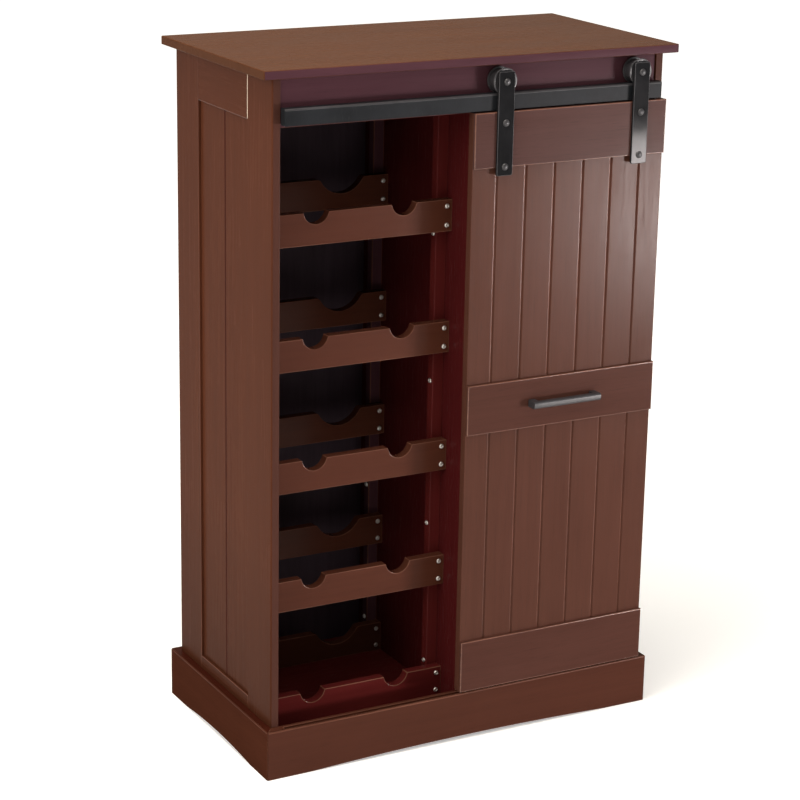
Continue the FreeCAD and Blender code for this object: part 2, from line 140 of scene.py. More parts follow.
# Noses of pins and pegs and the bore of a spacer, in parts of their radius
PIN_NOSE = 0.4
PEG_NOSE = 0.5
SPACER_BORE = 0.45

# Where the dished ring in a roller's face starts, is full, and ends, in parts of the rim's radius
DISH = (0.55, 0.60, 0.80, 0.84)

# Stains: figure, roughness and polish, and the painted shade that darkens some of them towards the foot of
# the cabinet
STAIN_FIGURE = 0.24
PLAIN_SATIN = 0.21
STAIN_SATIN = {"side": 0.26, "top": 0.26}
PLAIN_GLOSS = 0.05
STAIN_GLOSS = {"side": 0.010, "top": 0.010, "foot": 0.0, "plum": 0.030, "rail": 0.022, "crown": 0.022}
PAINTED_FOOT_SHADE = {"side": 0.30, "foot": 0.30, "front": 0.14}
FOOT_LOW = 0.08
FOOT_HIGH = 0.34
PORE = (0.004, 0.0015, 0.001, 1.0)

# Polish of the lighter eased edges and the back panel, of the planks' shoulders, and of the edges of the
# door's rails
EDGE_GLOSS = 0.12
SHOULDER_GLOSS = 0.35
RAIL_GLOSS = 0.5

# Above this polish an edge's material is named as polished
POLISHED = 0.2

# Relief of the wood's grain, and of the coarser back panel
WOOD_DEPTH = 0.0003
WOOD_BUMP = 0.05
BOARD_BUMP = 0.25

# Kinds of socket that the node groups take and give
VECTOR = 'NodeSocketVector'
COLOUR = 'NodeSocketColor'
VALUE = 'NodeSocketFloat'

# Places of the colour sockets on a mix node
MIX_FACTOR = 0
MIX_FIRST = 6
MIX_SECOND = 7
MIX_RESULT = 2

# Columns of nodes in the node editor
NODES_IN_COLUMN = 4
NODE_WIDTH = 220
NODE_HEIGHT = 300

# Stage: floor, backdrop and soft lights
FLOOR_SIZE = 40
FLOOR_DROP = 0.0005
FLOOR_NEAR = 0.6
FLOOR_FAR = 3.2
NEAR_LIFT = 0.35
FAR_LIFT = 0.85
BACKDROP_FULL = 0.04
BACKDROP_END = 0.09
AMBIENT = 0.30
AMBIENT_TINT = (1.0, 0.92, 0.76, 1.0)
WHITE = (1.0, 1.0, 1.0, 1.0)
NEUTRAL = (1.0, 1.0, 1.0)
ROSE = (1.0, 0.92, 0.90)
WARM = (1.0, 0.94, 0.84)

# Soft lights: place, target, watts, width, height and tint
LAMPS = {
    "right_softbox": ((2.3, -2.0, 1.7), (0.1, -0.1, 0.5), 18, 1.4, 1.4, NEUTRAL),
    "low_strip": ((1.875, -2.165, 0.22), (0.25, -0.16, 0.45), 51, 0.6, 0.355, ROSE),
    "left_fill": ((-3.1, -1.0, 1.8), (0, 0, 0.5), 81, 2.4, 2.4, WARM),
    "top_glow": ((-0.42, -0.22, 1.95), (-0.28, -0.12, 1.0), 6, 0.4, 0.4, WARM),
    "overhead": ((-0.5, -0.3, 3.2), (0, 0, 0.5), 82, 2.2, 2.2, WARM),
}

# The body's middle lies this far behind the middle of the whole cabinet, which the track and door deepen
BODY_SHIFT = 0.012
SENSOR_WIDTH = 36


# Settings that a user would change
def length_setting(name, description, default):
    return bpy.props.FloatProperty(name=name, description=description, default=default,
                                   unit='LENGTH', precision=5)


def angle_setting(name, description, default):
    return bpy.props.FloatProperty(name=name, description=description, default=default, subtype='ANGLE')


def colour_setting(name, description, default):
    return bpy.props.FloatVectorProperty(name=name, description=description, default=default,
                                         subtype='COLOR', min=0, max=1)


class CabinetSizes(bpy.types.PropertyGroup):
    """Sizes of the details that the solids leave plain"""

    board_ease: length_setting("Board ease", "Rounding of the edges of the boards", 0.0008)
    rack_ease: length_setting("Rack ease", "Rounding of the edges of the rack's rails and posts", 0.0010)
    metal_ease: length_setting("Metal ease", "Rounding of the edges of the straps and the track", 0.0007)
    track_round: length_setting("Track round", "Rounding along the upper front edge of the track", 0.0028)
    rail_round: length_setting("Rail round", "Rounding of the front edges of the door's rails", 0.0013)
    top_corner: length_setting("Top corner", "Radius of the top board's corners seen from above", 0.0025)
    top_rim: length_setting("Top rim", "Rounding along the top board's upper and lower rims", 0.0012)
    screw_radius: length_setting("Screw radius", "Radius of a rack screw's pan head", 0.0036)
    screw_height: length_setting("Screw height", "Height of a rack screw's pan head", 0.0018)
    track_screw_radius: length_setting("Track screw radius", "Radius of a track screw's pan head", 0.0045)
    track_screw_height: length_setting("Track screw height", "Height of a track screw's pan head", 0.0025)
    handle_screw_radius: length_setting("Handle screw radius", "Radius of a handle screw's pan head", 0.0040)
    handle_screw_height: length_setting("Handle screw height", "Height of a handle screw's pan head", 0.0024)
    screw_shank: length_setting("Screw shank", "Radius of the shanks of track and handle screws", 0.0020)
    spacer_ease: length_setting("Spacer ease", "Chamfer at both ends of the track's spacers", 0.0004)
    bolt_radius: length_setting("Bolt radius", "Radius of the domed heads on the hanger straps", 0.0050)
    bolt_height: length_setting("Bolt height", "Height of the domed heads on the hanger straps", 0.0032)
    bolt_shank: length_setting("Bolt shank", "Radius of the shanks of the strap bolts", 0.0025)
    axle_radius: length_setting("Axle radius", "Radius of the axles that the rollers turn on", 0.0040)
    rivet_radius: length_setting("Rivet radius", "Radius of the riveted end of an axle", 0.0060)
    rivet_height: length_setting("Rivet height", "Height of the riveted end of an axle", 0.0015)
    rivet_ease: length_setting("Rivet ease", "Chamfer round the riveted end of an axle", 0.0004)
    roller_bore: length_setting("Roller bore", "Radius of the bore through a roller", 0.00405)
    roller_flange: length_setting("Roller flange", "Width of each flange of a roller", 0.0022)
    roller_groove: length_setting("Roller groove", "Depth of the running groove between the flanges", 0.0026)
    roller_round: length_setting("Roller round", "Rounding of the rims of the flanges", 0.0009)
    roller_dish: length_setting("Roller dish", "Depth of the dished ring in a roller's face", 0.0004)
    hub_radius: length_setting("Hub radius", "Radius of the recess round the riveted end", 0.0064)
    hub_depth: length_setting("Hub depth", "Depth of the recess round the riveted end", 0.0019)
    handle_leg: length_setting("Handle leg", "Width of each leg of the pull handle", 0.0100)
    handle_bar: length_setting("Handle bar", "Thickness of the pull handle's bar, front to back", 0.0070)
    handle_round: length_setting("Handle round", "Rounding along the pull handle's bar", 0.0034)
    handle_end: length_setting("Handle end", "Easing of the square-cut ends of the pull handle", 0.0008)


# Stains: where each is used, and the colours of its darker and lighter streaks; some of them are painted
# shade, reflection or highlight, as noted
STAINS = {
    "side": ("Warm stain of the side walls", (0.054, 0.0168, 0.0088), (0.104, 0.0340, 0.0179)),
    "top": ("Browner stain of the top board", (0.0505, 0.0182, 0.0085), (0.0970, 0.0370, 0.0172)),
    "front": ("Stain of the rack's rails, the shelves and the base's front",
              (0.049, 0.0152, 0.0090), (0.091, 0.0295, 0.0180)),
    "door": ("Stain of the door's planks", (0.0510, 0.0193, 0.0131), (0.0940, 0.0370, 0.0256)),
    # On the stiles' fronts this colour is a painted cool reflection
    "rail": ("Duller stain of the door's lower rails and the stiles' fronts",
             (0.0465, 0.0186, 0.0140), (0.0860, 0.0357, 0.0276)),
    # Painted sheen: a greyer copy of the rail stain on the door's top rail
    "crown": ("Greyer stain of the door's top rail", (0.0465, 0.0215, 0.0190), (0.0860, 0.0410, 0.0370)),
    # Painted cool reflection: a bluer copy of the stain on the fascia, the rear posts and the top's front
    # edge
    "plum": ("Cooler stain of the fascia, the rear posts and the top's front edge",
             (0.044, 0.0175, 0.0236), (0.084, 0.0340, 0.0453)),
    # On the lowest front rail this deep red stands for a painted reddish reflection
    "inside": ("Deep red stain of the floor, the front posts and the lowest rail",
               (0.046, 0.0056, 0.0055), (0.100, 0.0138, 0.0132)),
    # Painted shade: the divider's red is a darker copy of the inside stain
    "divider": ("Deep red stain of the divider", (0.035, 0.0040, 0.0044), (0.075, 0.0098, 0.0105)),
    "foot": ("Dull stain of the base's sides and back", (0.054, 0.0168, 0.0098), (0.104, 0.0340, 0.0200)),
    # Lighter colour along eased edges: partly wear, partly a painted highlight on rounded edges, strongest
    # on the door's rails
    "rubbed": ("Thin stain along eased edges", (0.075, 0.0260, 0.0160), (0.160, 0.0680, 0.0450)),
    # On the side walls and the base a slightly lighter worn edge; on the planks a painted highlight on the
    # groove shoulders that face the lamps
    "faint": ("Slightly thin stain along the edges of the side walls, the base and the planks",
              (0.064, 0.0205, 0.0114), (0.124, 0.0415, 0.0236)),
    # Painted shade: a darker colour on the flanks of the side walls' grooves and on the base's ledge
    "pooled": ("Stain gathered in the side grooves and on the base's ledge",
               (0.030, 0.0060, 0.0033), (0.057, 0.0122, 0.0068)),
    # A near-white colour for a strip at the joint of the left top rail and front stile
    "bare": ("Wood rubbed through to the bare timber", (0.62, 0.50, 0.40), (0.80, 0.70, 0.60)),
    "board": ("Thin stain of the back panel", (0.030, 0.0200, 0.0280), (0.060, 0.0400, 0.0560)),
}


def with_stains(group):
    # Every stain becomes two settings, for its darker and its lighter streaks.
    for stain, (use, dark, light) in STAINS.items():
        label = stain.title() + " stain"
        group.__annotations__[stain + "_dark"] = colour_setting(label + " dark", use, dark)
        group.__annotations__[stain + "_light"] = colour_setting(label + " light", use, light)
    return group


@with_stains
class CabinetFinish(bpy.types.PropertyGroup):
    """Colours of the stains, of the painted shade, reflections and highlights, of the metals and of the
    floor
    """

    black: colour_setting("Black metal", "Satin black of the straps and spacers", (0.0070, 0.0070, 0.0082))
    track: colour_setting("Track metal", "Greyer satin coat of the track", (0.0112, 0.0126, 0.0152))
    # On the track's upper front edge and the straps' eased edges this lighter grey is a painted highlight;
    # on the handle, bolts and rollers it is their own metal
    edge: colour_setting("Edge metal", "Barer grey of handle, bolts, rollers and worn edges",
                         (0.0280, 0.0270, 0.0310))
    steel: colour_setting("Plated steel", "Bright plating of screws, pins and pegs", (0.36, 0.33, 0.32))
    floor: colour_setting("Floor", "Pale floor of the stage", (0.86, 0.86, 0.86))


class CabinetView(bpy.types.PropertyGroup):
    """Where the camera stands"""

    azimuth: angle_setting("Azimuth", "Turn of the camera round the cabinet", math.radians(-28.703))
    elevation: angle_setting("Elevation", "Height of the camera above the horizon", math.radians(16.923))
    roll: angle_setting("Roll", "Lean of the camera", math.radians(1.077))
    distance: length_setting("Distance", "From the cabinet's middle to the camera", 3.5025)
    aside: length_setting("Aside", "Sideways offset of the camera", -0.01932)
    above: length_setting("Above", "Upward offset of the camera", -0.02791)
    lens: bpy.props.FloatProperty(name="Lens", description="Focal length in millimetres", default=107.62)


# Selecting and marking pieces
def select_only(*pieces):
    bpy.ops.object.select_all(action='DESELECT')
    for piece in pieces:
        piece.select_set(True)
    bpy.context.view_layer.objects.active = pieces[0]


def start_edit(piece, kind):
    select_only(piece)
    bpy.ops.object.mode_set(mode='EDIT')
    bpy.ops.mesh.select_mode(type=kind)
    bpy.ops.mesh.select_all(action='DESELECT')


def end_edit():
    bpy.ops.object.mode_set(mode='OBJECT')


def edit_picked(piece, kind, wanted):
    # Edges or faces are chosen in object mode, then edit mode opens on them.
    start_edit(piece, kind)
    end_edit()
    items = piece.data.edges if kind == 'EDGE' else piece.data.polygons
    for item in items:
        item.select = bool(wanted(item))
    if not any(item.select for item in items):
        raise RuntimeError("nothing on " + piece.name + " matches")
    bpy.ops.object.mode_set(mode='EDIT')


def ends_of(piece, edge):
    return [piece.data.vertices[i].co for i in edge.vertices]


def edit_faces(piece, wanted):
    edit_picked(piece, 'FACE', lambda face: wanted(face.center, face.normal))


def round_edges(piece, wanted, radius, segments, material=-1):
    # The rounding takes the look of the faces beside it, unless it gets a material slot of its own.
    edit_picked(piece, 'EDGE', lambda edge: wanted(*ends_of(piece, edge)))
    bpy.ops.mesh.bevel(offset=radius, segments=segments, profile=0.5, affect='EDGES', material=material)
    end_edit()


def merge_all(piece):
    start_edit(piece, 'VERT')
    bpy.ops.mesh.select_all(action='SELECT')
    bpy.ops.mesh.remove_doubles(threshold=MERGE_GAP)


def finish_mesh(piece):
    # Closes seams, turns every face outwards and smooths all but the sharp edges.
    merge_all(piece)
    bpy.ops.mesh.normals_make_consistent(inside=False)
    end_edit()
    bpy.ops.object.transform_apply(location=True, rotation=True, scale=True)
    smooth(piece)


def smooth(piece):
    # Rounded edges shade smoothly, and wide faces stay flat up to their edges.
    select_only(piece)
    bpy.ops.object.shade_smooth_by_angle(angle=SMOOTH_EDGE)
    flat = piece.modifiers.new("flat", 'WEIGHTED_NORMAL')
    flat.mode = 'FACE_AREA'
    flat.weight = FLAT_WEIGHT
    flat.keep_sharp = True
    bpy.ops.object.modifier_apply(modifier="flat")


def stand_for(piece, node):
    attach(piece, frame["nodes"][node]["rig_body"])
    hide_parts(node)


def wear(piece, *materials):
    piece.data.materials.clear()
    for material in materials:
        piece.data.materials.append(material)


def copy_of(mesh, name):
    piece = bpy.data.objects.new(name, mesh.copy())
    bpy.context.scene.collection.objects.link(piece)
    return piece


# Boards and straps: a merged copy of the node with its sharp edges eased
def eased_copy(node, materials, ease, steps=2, shortest=0.0):
    piece = copy_of(frame["nodes"][node].data, node + "_eased")
    wear(piece, *materials)
    select_only(piece)
    bpy.ops.mesh.customdata_custom_splitnormals_clear()
    merge_all(piece)
    bpy.ops.mesh.dissolve_limited(angle_limit=FLAT_ANGLE)
    bpy.ops.mesh.select_mode(type='EDGE')
    bpy.ops.mesh.select_all(action='DESELECT')
    bpy.ops.mesh.edges_select_sharp(sharpness=SHARP_EDGE)
    end_edit()
    for edge in piece.data.edges:
        a, b = ends_of(piece, edge)
        if (a - b).length < shortest:
            edge.select = False
    bpy.ops.object.mode_set(mode='EDIT')
    bpy.ops.mesh.bevel(offset=ease, offset_type='OFFSET', segments=steps, profile=0.5, affect='EDGES',
                       clamp_overlap=False, material=len(materials) - 1)
    end_edit()
    smooth(piece)
    return piece


def stained_board(node, grain, tone, ease, shortest=0.0, rub="rubbed", edge_polish=EDGE_GLOSS):
    materials = (stained_wood(grain, tone), edge_wood(grain, rub, edge_polish))
    board = eased_copy(node, materials, ease, shortest=shortest)
    stand_for(board, node)
    return board


def stain_faces(piece, material, wanted):
    # Faces picked by the way they face take another colour: on some a stain of their own, on others painted
    # shade or a painted reflection.
    piece.data.materials.append(material)
    slot = len(piece.data.materials) - 1
    for face in piece.data.polygons:
        if wanted(face.normal):
            face.material_index = slot


def looks_forward(normal):
    return normal.y < -FACING


def looks_up(normal):
    return normal.z > FACING


def slopes_aside(normal):
    return LEANING < abs(normal.y) < FACING


def near_white_joint(rail, stile):
    # A near-white strip runs along the rail's upright front edge, where it meets the stile.
    rail.data.materials.append(near_white_wood("deep"))
    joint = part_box(stile)[1].y
    for face in rail.data.polygons:
        at_joint = abs(face.center.y - joint) < JOINT_REACH
        upright = abs(face.normal.z) < TURNED_AWAY and face.normal.x < -TURNED_AWAY
        if at_joint and upright and face.material_index == 1:
            face.material_index = 2


# Blocks that are planed, rounded or extruded into shape
def block(name, low, high):
    bpy.ops.object.select_all(action='DESELECT')
    bpy.ops.mesh.primitive_cube_add(size=1, location=(low + high) / 2)
    piece = bpy.context.active_object
    piece.name = name
    piece.scale = high - low
    bpy.ops.object.transform_apply(location=True, rotation=True, scale=True)
    return piece


def planed_rail(node, tone, round_over, ease):
    # Every edge of the shown face is rounded over and takes the lighter edge colour, partly wear and partly
    # a painted highlight.
    low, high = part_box(node)
    rail = block(node + "_planed", low, high)
    wear(rail, stained_wood("across", tone), edge_wood("across", "rubbed", RAIL_GLOSS))
    round_edges(rail, lambda a, b: max(a.y, b.y) < low.y + TOUCH, round_over, segments=4, material=1)
    round_edges(rail, lambda a, b: min(a.y, b.y) > high.y - TOUCH, ease, segments=2)
    finish_mesh(rail)
    stand_for(rail, node)


# Turned pieces: a circle extruded and scaled from ring to ring along its axis
def turned(name, rings, place, facing, sides, closed=False):
    radius, along = rings[0]
    turn = facing.to_track_quat('Z', 'Y').to_euler()
    bpy.ops.object.select_all(action='DESELECT')
    bpy.ops.mesh.primitive_circle_add(vertices=sides, radius=radius, location=place + facing * along,
                                      rotation=turn, fill_type='NOTHING' if closed else 'NGON')
    piece = bpy.context.active_object
    piece.name = name
    bpy.ops.object.transform_apply(location=True, rotation=True, scale=True)
    start_edit(piece, 'VERT')
    bpy.ops.mesh.select_all(action='SELECT')
    for next_radius, next_along in rings[1:] + (rings[:1] if closed else []):
        step = facing * (next_along - along)
        bpy.ops.mesh.extrude_region_move(TRANSFORM_OT_translate={"value": step})
        grow = next_radius / radius
        if abs(grow - 1) > TOUCH:
            bpy.ops.transform.resize(value=(grow, grow, grow), center_override=place + facing * next_along)
        radius, along = next_radius, next_along
    end_edit()
    finish_mesh(piece)
    return piece


def rounded_band(radius, start, end, soft):
    # A band round the axis whose two rims are rounded.
    step = soft * RIM_STEP
    return [(radius - soft, start), (radius - step, start + step), (radius, start + soft),
            (radius, end - soft), (radius - step, end - step), (radius - soft, end)]


def dome_rings(radius, height):
    # From the crown's small flat to the rim, measured back from the seat.
    rings = []
    for i in range(DOME_STEPS + 1):
        t = CROWN_ANGLE + (math.radians(90) - CROWN_ANGLE) * i / DOME_STEPS
        rings.append((radius * math.sin(t), -height * math.cos(t)))
    return rings


def copies(model, places):
    # Every place is a matrix, and each copy has its own mesh.
    made = []
    for place in places:
        piece = copy_of(model.data, model.name)
        piece.data.transform(place)
        made.append(piece)
    bpy.data.objects.remove(model)
    return made


def seats_of(node):
    # Low and high corners and all points of each loose solid in a node.
    trial = copy_of(frame["nodes"][node].data, "seat_trial")
    merge_all(trial)
    bpy.ops.mesh.separate(type='LOOSE')
    end_edit()
    seats = []
    for part in list(bpy.context.selected_objects):
        corners = [v.co.copy() for v in part.data.vertices]
        low = Vector([min(c[i] for c in corners) for i in range(3)])
        high = Vector([max(c[i] for c in corners) for i in range(3)])
        seats.append((low, high, corners))
        bpy.data.objects.remove(part)
    seats.sort(key=lambda s: tuple(round(v, SEAT_DIGITS) for v in s[0]))
    return seats


def runs_of(node, facing, head=0.0):
    # Start, radius and length of each loose solid along the way it faces, past the head at its near end.
    axis = max(range(3), key=lambda i: facing[i])
    across = 0 if facing == UP else 2
    runs = []
    for low, high, corners in seats_of(node):
        start = (low + high) / 2
        start[axis] = low[axis] + head
        runs.append((start, (high[across] - low[across]) / 2, high[axis] - start[axis]))
    return runs


def dress(pieces, node, ending, material):
    # Like pieces are joined as one group that stands for their node.
    group = pieces[0]
    select_only(*pieces)
    if len(pieces) > 1:
        bpy.ops.object.join()
    group.name = node + ending
    wear(group, material)
    stand_for(group, node)


# Screws with a driver's cross
def cross_headed(name, head_radius, head_height, shank_radius=0.0, shank_length=0.0):
    # A pan head stands up along Z from its seat at the origin, with a driver's cross sunk in its crown.
    rings = [(head_radius * out, head_height * up) for out, up in PAN_HEAD]
    if shank_length > 0:
        rings += [(shank_radius, 0.0), (shank_radius, -shank_length)]
    head = turned(name, rings, Vector((0, 0, 0)), UP, SCREW_SIDES)
    depth = head_height * CROSS_DEPTH
    for turn in (0.0, math.radians(90)):
        bpy.ops.object.select_all(action='DESELECT')
        bpy.ops.mesh.primitive_cube_add(size=1, location=(0, 0, head_height), rotation=(0, 0, turn))
        cutter = bpy.context.active_object
        cutter.scale = (2 * head_radius * CROSS_REACH, 2 * head_radius * CROSS_BLADE, 2 * depth)
        bpy.ops.object.transform_apply(location=True, rotation=True, scale=True)
        edit_faces(cutter, lambda centre, normal: normal.z < -FACING)
        bpy.ops.transform.resize(value=(CROSS_TAPER, CROSS_TAPER, 1.0),
                                 center_override=(0, 0, head_height - depth))
        end_edit()
        select_only(head)
        cut = head.modifiers.new("cross", 'BOOLEAN')
        cut.object = cutter
        cut.operation = 'DIFFERENCE'
        cut.solver = 'EXACT'
        bpy.ops.object.modifier_apply(modifier="cross")
        bpy.data.objects.remove(cutter)
    smooth(head)
    return head


def head_place(low, high, corners):
    # A bare head lies along its shortest side, and its crown is the narrower end.
    spans = high - low
    axis = min(range(3), key=lambda i: spans[i])
    middle = (low + high) / 2
    others = [i for i in range(3) if i != axis]

    def spread(level):
        ring = [c - middle for c in corners if abs(c[axis] - level) < RING_GAP]
        return max(math.hypot(c[others[0]], c[others[1]]) for c in ring)

    facing = Vector((0, 0, 0))
    facing[axis] = -1 if spread(low[axis]) < spread(high[axis]) else 1
    seat = middle.copy()
    seat[axis] = high[axis] if facing[axis] < 0 else low[axis]
    return Matrix.Translation(seat) @ facing.to_track_quat('Z', 'Y').to_matrix().to_4x4()


def set_heads(node, head_radius, head_height):
    # Heads alone, seated on the wood.
    model = cross_headed(node + "_model", head_radius, head_height)
    heads = copies(model, [head_place(*seat) for seat in seats_of(node)])
    dress(heads, node, "_crossed", plated_steel())


def set_screws(node, head_radius, head_height):
    # Screws driven from the back: heads face backwards and shanks run forward.
    runs = runs_of(node, BACK)
    shank_length = runs[0][2] - head_height
    shank_radius = bpy.context.scene.cabinet_sizes.screw_shank
    model = cross_headed(node + "_model", head_radius, head_height, shank_radius, shank_length)
    turn = BACK.to_track_quat('Z', 'Y').to_matrix().to_4x4()
    screws = copies(model, [Matrix.Translation(run[0] + BACK * shank_length) @ turn for run in runs])
    dress(screws, node, "_crossed", plated_steel())


# Nodes of the finishes
def add_node(tree, kind, inputs, **settings):
    # Nodes stand in columns, in the order they are made. A socket takes an output or a value of its own.
    column, row = divmod(len(tree.nodes), NODES_IN_COLUMN)
    node = tree.nodes.new(kind)
    node.location = (NODE_WIDTH * column, -NODE_HEIGHT * row)
    for key, value in settings.items():
        setattr(node, key, value)
    for label, item in inputs.items():
        if isinstance(item, bpy.types.NodeSocket):
            tree.links.new(item, node.inputs[label])
        else:
            node.inputs[label].default_value = item
    return node


def empty_tree(owner):
    # A material or a world, without the nodes that it comes with.
    owner.use_nodes = True
    owner.node_tree.nodes.clear()
    return owner.node_tree


def new_group(name, inputs):
    # A group that gives a surface its colour, roughness and height.
    tree = bpy.data.node_groups.new(name, 'ShaderNodeTree')
    for label, kind in inputs.items():
        tree.interface.new_socket(label, in_out='INPUT', socket_type=kind)
    for label, kind in (("Color", COLOUR), ("Roughness", VALUE), ("Height", VALUE)):
        tree.interface.new_socket(label, in_out='OUTPUT', socket_type=kind)
    return tree, add_node(tree, 'NodeGroupInput', {}).outputs


def noise(tree, place, scale, detail, rough, twist=0.0):
    stretch = add_node(tree, 'ShaderNodeVectorMath', {0: place, 1: scale}, operation='MULTIPLY')
    cloud = add_node(tree, 'ShaderNodeTexNoise', {
        "Vector": stretch.outputs[0], "Scale": 1.0, "Detail": detail, "Roughness": rough,
        "Distortion": twist})
    return cloud.outputs["Fac"]


def remapped(tree, value, low, high, to_low, to_high):
    node = add_node(tree, 'ShaderNodeMapRange', {
        "Value": value, "From Min": low, "From Max": high, "To Min": to_low, "To Max": to_high})
    return node.outputs["Result"]


def centred(tree, value):
    # The middle of a noise, spread from minus a half to a half.
    return remapped(tree, value, 0.30, 0.70, -0.5, 0.5)


def maths(tree, operation, *items):
    return add_node(tree, 'ShaderNodeMath', dict(enumerate(items)), operation=operation).outputs[0]


def added(tree, start, *parts):
    # Each part is added to the start by its own weight.
    total = start
    for part, weight in parts:
        total = maths(tree, 'MULTIPLY_ADD', part, weight, total)
    return total


def mixed(tree, factor, first, second, way='MIX'):
    inputs = {MIX_FACTOR: factor, MIX_FIRST: first, MIX_SECOND: second}
    return add_node(tree, 'ShaderNodeMix', inputs, data_type='RGBA', blend_type=way).outputs[MIX_RESULT]


def grain_group():
    # Stained wood: streaks, bands and blotches between two tones, with dark pores and painted shade that
    # darkens it towards the foot.
    name = "stained_grain"
    if name in bpy.data.node_groups:
        return bpy.data.node_groups[name]
    tree, entry = new_group(name, {"Place": VECTOR, "Dark": COLOUR, "Light": COLOUR, "Figure": VALUE,
                                   "Satin": VALUE, "Stand": VECTOR, "Foot": VALUE})
    place = entry["Place"]
    streaks = centred(tree, noise(tree, place, (5.0, 130.0, 130.0), 5.0, 0.62, 0.4))
    bands = centred(tree, noise(tree, place, (1.6, 17.0, 17.0), 3.0, 0.55, 0.8))
    blotches = centred(tree, noise(tree, place, (6.5, 9.0, 9.0), 4.0, 0.6))
    pores = remapped(tree, noise(tree, place, (38.0, 1400.0, 1400.0), 2.0, 0.5), 0.58, 0.72, 0.0, 1.0)
    figure = added(tree, 0.0, (bands, 0.6), (streaks, 0.75), (blotches, 0.55))
    tone = added(tree, 0.5, (figure, entry["Figure"]))
    stain = mixed(tree, tone, entry["Dark"], entry["Light"])
    stand = add_node(tree, 'ShaderNodeSeparateXYZ', {"Vector": entry["Stand"]})
    # Painted shade: the colour grows darker towards the cabinet's foot, by the Foot weight
    near_foot = remapped(tree, stand.outputs["Z"], FOOT_LOW, FOOT_HIGH, 1.0, 0.0)
    shade = added(tree, maths(tree, 'MULTIPLY', near_foot, entry["Foot"]), (pores, 0.25))
    add_node(tree, 'NodeGroupOutput', {
        "Color": mixed(tree, shade, stain, PORE),
        "Roughness": added(tree, entry["Satin"], (streaks, 0.07), (blotches, 0.06), (pores, 0.12)),
        "Height": added(tree, 0.0, (pores, -0.9), (streaks, 0.35))})
    return tree


def coat_group():
    # A sprayed or plated metal skin: fine pebble, drifting tone and a few faint scuffs.
    name = "metal_skin"
    if name in bpy.data.node_groups:
        return bpy.data.node_groups[name]
    tree, entry = new_group(name, {"Place": VECTOR, "Tone": COLOUR, "Scuff": COLOUR, "Satin": VALUE,
                                   "Amount": VALUE})
    place = entry["Place"]
    pebble = noise(tree, place, (1100.0, 1100.0, 1100.0), 3.0, 0.55)
    drift = noise(tree, place, (28.0, 28.0, 28.0), 4.0, 0.6)
    marks = remapped(tree, noise(tree, place, (420.0, 420.0, 60.0), 3.0, 0.7, 1.2), 0.60, 0.78, 0.0, 1.0)
    scuffs = maths(tree, 'MULTIPLY', marks, entry["Amount"])
    lift = remapped(tree, drift, 0.3, 0.7, 0.75, 1.25)
    toned = mixed(tree, 1.0, entry["Tone"], lift, 'MULTIPLY')
    add_node(tree, 'NodeGroupOutput', {
        "Color": mixed(tree, scuffs, toned, entry["Scuff"]),
        "Roughness": added(tree, entry["Satin"], (centred(tree, drift), 0.05), (scuffs, 0.15)),
        "Height": pebble})
    return tree


def surface(name, group, grain, values, bump, depth, gloss, metallic=0.0):
    if name in bpy.data.materials:
        return bpy.data.materials[name]
    material = bpy.data.materials.new(name)
    tree = empty_tree(material)
    where = add_node(tree, 'ShaderNodeTexCoord', {}).outputs["Object"]
    mapping = add_node(tree, 'ShaderNodeMapping', {"Vector": where, "Rotation": GRAIN_TURNS[grain]})
    inputs = {"Place": mapping.outputs["Vector"], **values}
    effect = add_node(tree, 'ShaderNodeGroup', inputs, node_tree=group)
    if "Stand" in effect.inputs:
        tree.links.new(where, effect.inputs["Stand"])
    relief = add_node(tree, 'ShaderNodeBump', {
        "Height": effect.outputs["Height"], "Strength": bump, "Distance": depth})
    shader = add_node(tree, 'ShaderNodeBsdfPrincipled', {
        "Base Color": effect.outputs["Color"], "Roughness": effect.outputs["Roughness"],
        "Normal": relief.outputs["Normal"], "Specular IOR Level": gloss, "Metallic": metallic})
    add_node(tree, 'ShaderNodeOutputMaterial', {"Surface": shader.outputs["BSDF"]})
    return material


def opaque(colour):
    return (colour[0], colour[1], colour[2], 1.0)


# Finishes of wood
def wood(name, tone, grain, figure, satin, gloss, bump=WOOD_BUMP):
    finish = bpy.context.scene.cabinet_finish
    dark = opaque(getattr(finish, tone + "_dark"))
    light = opaque(getattr(finish, tone + "_light"))
    foot = PAINTED_FOOT_SHADE.get(tone, 0.0)
    values = {"Dark": dark, "Light": light, "Figure": figure, "Satin": satin, "Foot": foot}
    return surface(name, grain_group(), grain, values, bump, WOOD_DEPTH, gloss)


def stained_wood(grain, tone):
    return wood("stained_wood_" + tone + "_" + grain, tone, grain, STAIN_FIGURE,
                STAIN_SATIN.get(tone, PLAIN_SATIN), STAIN_GLOSS.get(tone, PLAIN_GLOSS))


# Colours for eased edges: partly wear, partly a painted highlight
def edge_wood(grain, tone, gloss):
    ending = "_polished" if gloss > POLISHED else ""
    return wood(tone + "_edge_" + grain + ending, tone, grain, figure=1.1, satin=0.22, gloss=gloss)


def near_white_wood(grain):
    return wood("bare_edge_" + grain, "bare", grain, figure=0.6, satin=0.40, gloss=EDGE_GLOSS)


def back_board():
    return wood("stained_back_board", "board", "upright", figure=0.5, satin=0.55, gloss=EDGE_GLOSS,
                bump=BOARD_BUMP)


# Finishes of metal
def metal(name, tone, scuff, satin, amount, bump, depth, gloss, metallic=0.0):
    colour = getattr(bpy.context.scene.cabinet_finish, tone)
    values = {"Tone": opaque(colour), "Scuff": opaque(scuff), "Satin": satin, "Amount": amount}
    return surface(name, coat_group(), "across", values, bump, depth, gloss, metallic)


def black_metal():
    return metal("satin_black_metal", "black", scuff=(0.05, 0.048, 0.05),
                 satin=0.08, amount=0.2, bump=0.02, depth=0.00010, gloss=0.065)


